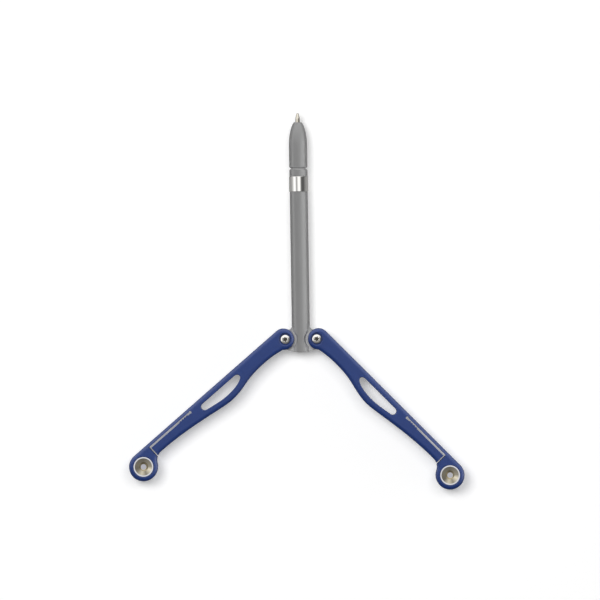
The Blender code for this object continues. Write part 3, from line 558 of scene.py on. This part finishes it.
# Handle: u runs from the pivot to the eye, v towards the straight edge
handle = dict(reach=99.3, face=5.6, rim=1.2, rimWidth=2.0, boss=5.6, bossAhead=0.7, bossRaise=0.72, eye=7.5, neck=6.0,
              waveAngle=-45, waveSlope=10.5, wavePull=0.33, dip=(17.7, -1.92), dipPulls=(0.49, 0.51),
              bulge=(42.0, -5.05), bulgePulls=(0.40, 0.14), tailDepth=0.17, tailPull=0.44, ear=3.0, fork=8.5,
              forkEdge=0.3, gap=0.3, shut=1.5)
window = dict(back=11.6, front=14.5, rail=3.15, sill=3.5, shoulder=2.2, corner=1.65, cap=1.83, rise=10.8, pull=0.8,
              edge=0.4)
slit = dict(length=28.0, margin=1.5, strap=1.75, width=0.9, exitWidth=0.68, swell=0.26, teeth=4, pitch=1.5, height=0.5,
            start=1.8, lean=0.6, edge=0.16)
bossAt = (handle["bossAhead"], handle["bossRaise"])
run, rise = handle["reach"] - bossAt[0], -bossAt[1]
edgeAngle = atan2(rise, run) + acos((handle["boss"] - handle["eye"]) / hypot(run, rise))
edgeStart = (bossAt[0] + handle["boss"] * cos(edgeAngle), bossAt[1] + handle["boss"] * sin(edgeAngle))


def belowEdge(u, depth):  # point at station u, a depth inside the straight edge
    along = (u - edgeStart[0] + cos(edgeAngle) * depth) / sin(edgeAngle)
    return (u, edgeStart[1] - cos(edgeAngle) * along - sin(edgeAngle) * depth)


def handleOutline():
    drop = handle["tailDepth"] + handle["neck"]
    back = sqrt((handle["eye"] + handle["neck"]) ** 2 - drop**2)
    neckAt = (handle["reach"] - back, -drop)
    neckAngle = atan2(drop, back)
    angle = radians(handle["waveAngle"])
    start = (bossAt[0] + handle["boss"] * cos(angle), bossAt[1] + handle["boss"] * sin(angle))
    dip, bulge, tail = handle["dip"], handle["bulge"], (neckAt[0], -handle["tailDepth"])
    slope = radians(handle["waveSlope"])
    first, swell, fall = dip[0] - start[0], bulge[0] - dip[0], tail[0] - bulge[0]
    pull = handle["wavePull"] * first
    points = curvePoints(start, (start[0] + pull * cos(slope), start[1] + pull * sin(slope)),
                         (dip[0] - handle["dipPulls"][0] * first, dip[1]), dip)
    points += curvePoints(dip, (dip[0] + handle["dipPulls"][1] * swell, dip[1]),
                          (bulge[0] - handle["bulgePulls"][0] * swell, bulge[1]), bulge)
    points += curvePoints(bulge, (bulge[0] + handle["bulgePulls"][1] * fall, bulge[1]),
                          (tail[0] - handle["tailPull"] * fall, tail[1]), tail)
    points += arcPoints(neckAt, handle["neck"], pi / 2, neckAngle)
    points += arcPoints((handle["reach"], 0), handle["eye"], neckAngle - pi, edgeAngle, facets=160)
    points += arcPoints(bossAt, handle["boss"], edgeAngle, 2 * pi + angle, facets=160)
    return withoutRepeats(points)


def windowOutline():
    middle = handle["bulge"][0]
    backTop = belowEdge(middle - window["back"] + window["shoulder"], window["rail"])
    frontTop = belowEdge(middle + window["front"] - window["cap"], window["rail"])
    floor = window["sill"] + handle["bulge"][1]
    lowBack = backTop[1] - window["corner"]
    rise, pull = radians(window["rise"]), window["pull"]
    points = arcPoints((backTop[0], lowBack), (window["shoulder"], window["corner"]), pi, pi / 2, facets=64)
    points += arcPoints((frontTop[0], frontTop[1] - window["cap"]), window["cap"], pi / 2, rise - pi / 2, facets=96)
    end = points[-1]
    knee = end[0] - (end[1] - floor) / tan(rise)
    points += curvePoints(end, (end[0] + pull * (knee - end[0]), end[1] + pull * (floor - end[1])),
                          (middle + pull * (knee - middle), floor), (middle, floor))
    points += arcPoints((middle, lowBack), (window["back"], lowBack - floor), -pi / 2, -pi, facets=160)
    return withoutRepeats(list(reversed(points)))


def slitOutline():
    end = handle["reach"] - handle["eye"] - slit["margin"]
    start = end - slit["length"]
    outer, inner = slit["strap"], slit["strap"] + slit["width"]
    hole = belowEdge(start, outer + slit["width"] / 2)
    radius = slit["width"] / 2 + slit["swell"]
    opening = asin(slit["width"] / 2 / radius)
    below = inner + belowEdge(end, inner)[1] + handle["tailDepth"] + handle["neck"]
    points = arcPoints(hole, radius, 2 * pi - opening, opening, facets=48)
    points += [belowEdge(end, outer), belowEdge(end, below), belowEdge(end - slit["exitWidth"], below),
               belowEdge(end - slit["exitWidth"], inner)]
    for tooth in reversed(range(slit["teeth"])):
        root = start + slit["start"] + tooth * slit["pitch"]
        crest = root + slit["lean"] * slit["pitch"]
        points += [belowEdge(root + slit["pitch"], inner), belowEdge(crest, inner - slit["height"])]
    points.append(belowEdge(start + slit["start"], inner))
    return withoutRepeats(list(reversed(points)))


weight = dict(radius=5.2, face=5.5, rim=0.7, flange=2.2, step=1.0, depth=3.6, dish=2.4, floor=1.45, edge=0.14,
              floorEdge=0.1, footEdge=0.1, bevel=0.2)
screw = dict(head=2.55, room=0.65, seat=4.25, top=5.5, side=0.45, shank=1.2, length=6.4, sleeve=2.0, floor=4.2,
             nutBore=1.25, recess=0.75, bevel=0.25, bevelEdge=0.02, headEdge=0.06, tipEdge=0.15, sleeveEdge=0.1)
turnOver = Matrix.Rotation(pi, 4, "X")  # brings a piece of the front face to the back


def handleCuts(sign):
    face, ear, gap = handle["face"], handle["ear"], handle["gap"]
    top = face + over
    fork = turned([(0, ear), (handle["fork"], ear, handle["forkEdge"]), (handle["fork"], -ear, handle["forkEdge"]),
                   (0, -ear)], facets=128)
    ahead, behind = point["tip"] + over, -tang["drop"] - over
    ringEnd, ringFoot = pen["mouth"] + gap, pen["ferruleFoot"] - gap
    envelope = [(0, ahead), (nose["radius"] + gap, ahead), (nose["radius"] + gap, ringEnd),
                (ferrule["radius"] + gap, ringEnd), (ferrule["radius"] + gap, ringFoot),
                (pen["barrel"] + gap, ringFoot), (pen["barrel"] + gap, behind), (0, behind)]
    shut = radians(handle["shut"])
    lay = Matrix.Translation((-tang["offset"] * sin(shut) * mm, sign * tang["offset"] * cos(shut) * mm, 0))
    channel = placed(turned(envelope, facets=128),
                     lay @ Matrix.Rotation(sign * shut, 4, "Z") @ Matrix.Rotation(pi / 2, 4, "Y"))
    room, hole = screw["head"] + screw["room"], screw["sleeve"] + fit
    boreMouth = room + screw["bevel"]
    half = [(0, top), (boreMouth, top), (boreMouth, face, screw["bevelEdge"]), (room, face - screw["bevel"]),
            (room, screw["floor"]), (hole, screw["floor"])]
    pivotBore = turned(half + [(corner[0], -corner[1]) for corner in reversed(half)])
    outer, shank = weight["radius"] + fit, weight["radius"] - weight["step"] + fit
    seat, foot = (weight["face"] - weight[down] - fit for down in ("flange", "depth"))
    pocketMouth = outer + weight["bevel"]
    pocket = turned([(0, top), (pocketMouth, top), (pocketMouth, face), (outer, face - weight["bevel"]), (outer, seat),
                     (shank, seat), (shank, foot), (0, foot)], facets=128)
    eye = Matrix.Translation((handle["reach"] * mm, 0, 0))
    cutters = [fork, channel, slab(windowOutline(), flaredLevels(face, window["edge"], steps=5), sign),
               slab(slitOutline(), flaredLevels(face, slit["edge"], steps=3), sign), pivotBore,
               placed(pocket, eye), placed(pocket, eye @ turnOver)]
    return [("DIFFERENCE", cutter) for cutter in cutters]


# Six-lobe recess: a ring of points pushed in and out, filled and drawn up past the head
lobeSizes = {"Radius": 1.12 * mm, "Lobe": 0.2 * mm, "Lobes": 6, "Depth": (screw["recess"] + over) * mm}
tree, start = nodeTree("lobedRecess", lobeSizes)
ringCurve = addNode(tree, "GeometryNodeCurvePrimitiveCircle", {"Resolution": 96}, {"Radius": start.outputs["Radius"]})
spot = addNode(tree, "GeometryNodeInputPosition")
parts = addNode(tree, "ShaderNodeSeparateXYZ", None, {0: spot.outputs[0]})
angle = addNode(tree, "ShaderNodeMath", {"operation": "ARCTAN2"}, {0: parts.outputs[1], 1: parts.outputs[0]})
turns = addNode(tree, "ShaderNodeMath", {"operation": "MULTIPLY"}, {0: angle.outputs[0], 1: start.outputs["Lobes"]})
wave = addNode(tree, "ShaderNodeMath", {"operation": "COSINE"}, {0: turns.outputs[0]})
push = addNode(tree, "ShaderNodeMath", {"operation": "MULTIPLY"}, {0: wave.outputs[0], 1: start.outputs["Lobe"]})
outward = addNode(tree, "ShaderNodeVectorMath", {"operation": "NORMALIZE"}, {0: spot.outputs[0]})
shift = addNode(tree, "ShaderNodeVectorMath", {"operation": "SCALE"}, {0: outward.outputs[0], "Scale": push.outputs[0]})
lobed = addNode(tree, "GeometryNodeSetPosition", None, {"Geometry": ringCurve.outputs[0], "Offset": shift.outputs[0]})
filled = addNode(tree, "GeometryNodeFillCurve", {"mode": "NGONS"}, {0: lobed.outputs[0]})
walls = addNode(tree, "GeometryNodeExtrudeMesh", None,
                {"Mesh": filled.outputs[0], "Offset Scale": start.outputs["Depth"]})
floorFlip = addNode(tree, "GeometryNodeFlipFaces", None, {0: filled.outputs[0]})
whole = addNode(tree, "GeometryNodeJoinGeometry")
tree.links.new(walls.outputs[0], whole.inputs[0])
tree.links.new(floorFlip.outputs[0], whole.inputs[0])
sewn = addNode(tree, "GeometryNodeMergeByDistance", {"Distance": 0.001 * mm}, {0: whole.outputs[0]})
closeTree(tree, start, sewn.outputs[0])
recessFloor = Matrix.Translation((0, 0, (screw["top"] - screw["recess"]) * mm))
recess = placed(grown(tree, lobeSizes, nickelPlate), recessFloor)
for corner in recess.uv_layers.new(name="turned").data:
    corner.uv = (0, recessShadeMapAt)  # the zone painted dark, a painted shade in the recess


def domeHead():
    shoulder = screw["seat"] + screw["side"]
    crown = arcPoints((0, shoulder), (screw["head"], screw["top"] - shoulder), pi / 2, 0, facets=64)
    return [(0, screw["top"])] + crown[1:] + [(screw["head"], screw["seat"], screw["headEdge"])]


screwEnd = screw["seat"] - screw["length"]
screwShape = domeHead() + [(screw["shank"], screw["seat"]), (screw["shank"], screwEnd, screw["tipEdge"]), (0, screwEnd)]
nutEnd, nutFloor = -screw["floor"], fit - screwEnd
nutShape = domeHead() + [(screw["sleeve"], screw["seat"]), (screw["sleeve"], nutEnd, screw["sleeveEdge"]),
                         (screw["nutBore"], nutEnd), (screw["nutBore"], nutFloor), (0, nutFloor)]
dishFloor, flangeFoot, weightFoot = (weight["face"] - weight[down] for down in ("dish", "flange", "depth"))
stepped = weight["radius"] - weight["step"]
dish = [(0, dishFloor), (weight["floor"], dishFloor, weight["floorEdge"]),
        (weight["radius"] - weight["rim"], weight["face"], weight["edge"]),
        (weight["radius"], weight["face"], weight["edge"]), (weight["radius"], flangeFoot), (stepped, flangeFoot),
        (stepped, weightFoot, weight["footEdge"]), (0, weightFoot)]
washer = dict(bore=2.05, radius=4.2, low=2.55, high=2.95, edge=0.06)
washerShape = [(washer["bore"], washer["high"]), (washer["radius"], washer["high"], washer["edge"]),
               (washer["radius"], washer["low"], washer["edge"]), (washer["bore"], washer["low"])]
for side, place in armPlaces.items():
    arm = side + "_arm"
    levels = roundedLevels(handle["face"], handle["rim"], handle["rimWidth"], steps=10)
    blank = slab(handleOutline(), levels, sideSigns[side])
    finishPiece(side + "HandleMoulding", placed(carved(blank, *handleCuts(sideSigns[side])), place), blueAbs, arm,
                [side + "_handle"])
    eye = place @ Matrix.Translation((handle["reach"] * mm, 0, 0))
    for end, turn in (("front", Matrix.Identity(4)), ("rear", turnOver)):
        cupMesh = turned(dish, facets=128)
        finishPiece(f"{side}{end.title()}Weight", placed(cupMesh, eye @ turn), turnedSteel, arm,
                    [f"{side}_{end}_weight"])
        washerMesh = turned(washerShape, facets=64)
        finishPiece(f"{side}{end.title()}Washer", placed(washerMesh, place @ turn), stampedBronze, arm,
                    [f"{side}_{end}_washer"])
    head = carved(turned(screwShape), ("DIFFERENCE", recess))
    finishPiece(side + "PivotScrew", placed(head, place), nickelPlate, arm, [side + "_pivot_screw"])
    nut = carved(turned(nutShape), ("DIFFERENCE", recess))
    finishPiece(side + "PivotNut", placed(nut, place @ turnOver), nickelPlate, arm, [side + "_pivot_nut"])
    print(side, "handle done")

# Studio: white paper sweep, a soft panel on each side above, camera straight above
studio = dict(distance=4.0, plane=8.5, frameWidth=312.5, centre=(3.034, 1.150), tilt=-0.88, sensor=36.0, clip=0.01,
              floorSize=4.0, floorDrop=0.02, floorWhite=0.8, floorGloss=0.45, floorLift=0.33, panelFar=3.0)
camera = bpy.data.objects.new("camera", bpy.data.cameras.new("camera"))
scene.collection.objects.link(camera)
camera.data.sensor_width = studio["sensor"]
camera.data.lens = studio["sensor"] * studio["distance"] / (studio["frameWidth"] * mm)
camera.data.clip_start = studio["clip"]
camera.location = (studio["centre"][0] * mm, studio["centre"][1] * mm, studio["distance"] + studio["plane"] * mm)
camera.rotation_euler = (0, 0, radians(studio["tilt"]))
scene.camera = camera

floorMesh = bpy.data.meshes.new("floor")
half, low = studio["floorSize"] / 2, -studio["floorDrop"] * mm
corners = [(-half, -half, low), (half, -half, low), (half, half, low), (-half, half, low)]
floorMesh.from_pydata(corners, [], [(0, 1, 2, 3)])
floor = bpy.data.objects.new("floor", floorMesh)
scene.collection.objects.link(floor)
paper, tree, shader = newFinish("matteWhitePaper", {"Roughness": 0.9, "Specular IOR Level": 0.0})
rays = addNode(tree, "ShaderNodeLightPath")
white = addNode(tree, "ShaderNodeMix", {"data_type": "FLOAT", 2: studio["floorWhite"], 3: studio["floorGloss"]},
                {"Factor": rays.outputs["Is Glossy Ray"]})  # dimmer in gloss, as the far floor of a studio is
tree.links.new(white.outputs[0], shader.inputs["Base Color"])
lift = addNode(tree, "ShaderNodeMath", {"operation": "MULTIPLY", 1: studio["floorLift"]},
               {0: rays.outputs["Is Camera Ray"]})
shader.inputs["Emission Color"].default_value = (1, 1, 1, 1)
tree.links.new(lift.outputs[0], shader.inputs["Emission Strength"])
floorMesh.materials.append(paper)

# World: white to the camera, a dim fill with a reflector low on the right, and for gloss the panels of a studio.
# Stops are degrees from straight up, towards the right or the back, and the brightness there
fillStops = [(-90, 0.05), (68, 0.05), (80, 2.6), (90, 2.6)]
polishedStops = dict(  # what mirrors see: two bright bands along the pen, then a dark flag on the right
    side=[(-90, 0.5), (-72, 0.5), (-60, 1.5), (-42, 1.5), (-30, 0.6), (-19, 0.45), (-9, 1.3), (13, 1.4), (25, 0.6),
          (34, 0.14), (90, 0.1)],
    back=[(-90, 0.12), (-45, 0.15), (-18, 0.35), (0, 0.8), (18, 1.2), (30, 1.4), (90, 1.4)])
mouldedStops = dict(  # what satin surfaces see: a long panel on the right and a bright back
    side=[(-90, 3.2), (-74, 2.8), (-58, 0.9), (-42, 0.7), (-30, 0.6), (-19, 0.5), (-9, 1.0), (13, 1.1), (24, 1.7),
          (36, 4.2), (90, 4.6)],
    back=[(-90, 0.12), (-45, 0.15), (-18, 0.35), (0, 0.8), (18, 1.8), (26, 3.0), (90, 3.0)])
# What mirrors see round the horizon, in degrees from the back towards the right: two bright cards and a dim one
horizonStops = [(-180, 0.23), (-95, 0.5), (-68, 1.4), (-22, 0.38), (14, 1.05), (56, 0.24), (110, 0.3), (180, 0.23)]
# The side bands give way to the back panel over these degrees along the pen, and the horizon to both over these heights
blends = dict(along=(6, 24), horizon=(0.24, 0.45), right=(1, 0, 0), back=(-0.34, 0.94, 0))
world = bpy.data.worlds.new("studio")
scene.world = world
world.use_nodes = True
sky = world.node_tree
background = sky.nodes["Background"]
rays = addNode(sky, "ShaderNodeLightPath")
where = addNode(sky, "ShaderNodeTexCoord")
parts = addNode(sky, "ShaderNodeSeparateXYZ", None, {0: where.outputs["Generated"]})


def skyAngle(first, second):
    return addNode(sky, "ShaderNodeMath", {"operation": "ARCTAN2"}, {0: first, 1: second}).outputs[0]


def skyStep(value, low, high):
    return addNode(sky, "ShaderNodeMapRange", {"From Min": low, "From Max": high}, {"Value": value}).outputs[0]


def skyMix(factor, first, second):
    return addNode(sky, "ShaderNodeMix", {"data_type": "FLOAT"}, {"Factor": factor, 2: first, 3: second}).outputs[0]


def lean(direction):  # angle from straight up towards one direction
    share = addNode(sky, "ShaderNodeVectorMath", {"operation": "DOT_PRODUCT", 1: direction},
                    {0: where.outputs["Generated"]})
    return skyAngle(share.outputs["Value"], parts.outputs["Z"])


def skyRamp(angle, stops):
    reach = stops[-1][0]
    bands = addNode(sky, "ShaderNodeValToRGB", None, {0: skyStep(angle, -radians(reach), radians(reach))})
    ramp = bands.color_ramp.elements
    while len(ramp) < len(stops):
        ramp.new(0.5)
    for stop, (degrees, bright) in zip(ramp, stops):
        stop.position = 0.5 * degrees / reach + 0.5
        stop.color = (bright, bright, bright, 1)
    return bands.outputs["Color"]


sideLean, backLean = lean(blends["right"]), lean(blends["back"])  # the back panel stands a little to the left
along = addNode(sky, "ShaderNodeMath", {"operation": "ABSOLUTE"}, {0: parts.outputs["Y"]}).outputs[0]
alongPen = skyStep(along, *(sin(radians(angle)) for angle in blends["along"]))
above, moulded = (skyMix(alongPen, skyRamp(sideLean, stops["side"]), skyRamp(backLean, stops["back"]))
                  for stops in (polishedStops, mouldedStops))
around = skyRamp(skyAngle(parts.outputs["X"], parts.outputs["Y"]), horizonStops)
polished = skyMix(skyStep(parts.outputs["Z"], *blends["horizon"]), around, above)
gloss = skyMix(rays.outputs["Is Singular Ray"], moulded, polished)
seen = skyMix(rays.outputs["Is Glossy Ray"], skyRamp(sideLean, fillStops), gloss)
level = addNode(sky, "ShaderNodeMix", {"data_type": "FLOAT", 3: 1.0},
                {"Factor": rays.outputs["Is Camera Ray"], 2: seen})
background.inputs["Color"].default_value = (1, 1, 1, 1)
sky.links.new(level.outputs[0], background.inputs["Strength"])


def panel(name, left, back, span, level):  # soft panel: degrees off straight up, half width and brightness
    far = studio["panelFar"]
    toPanel = Vector((-tan(radians(left)), tan(radians(back)), 1)).normalized()
    lamp = bpy.data.lights.new(name, "AREA")
    lamp.shape = "RECTANGLE"
    lamp.size, lamp.size_y = (2 * far * tan(radians(half)) for half in span)
    lamp.energy = level * pi * lamp.size * lamp.size_y
    obj = bpy.data.objects.new(name, lamp)
    scene.collection.objects.link(obj)
    obj.location = far * toPanel
    obj.rotation_euler = toPanel.to_track_quat("Z", "Y").to_euler()
    obj.visible_glossy = False  # gloss sees the panels of the world instead


panel("keyLight", left=20, back=15, span=(13, 14), level=9.1)
panel("fillLight", left=-14, back=15, span=(9, 14), level=4.9)
scene.view_settings.view_transform = "Standard"
print("studio done")
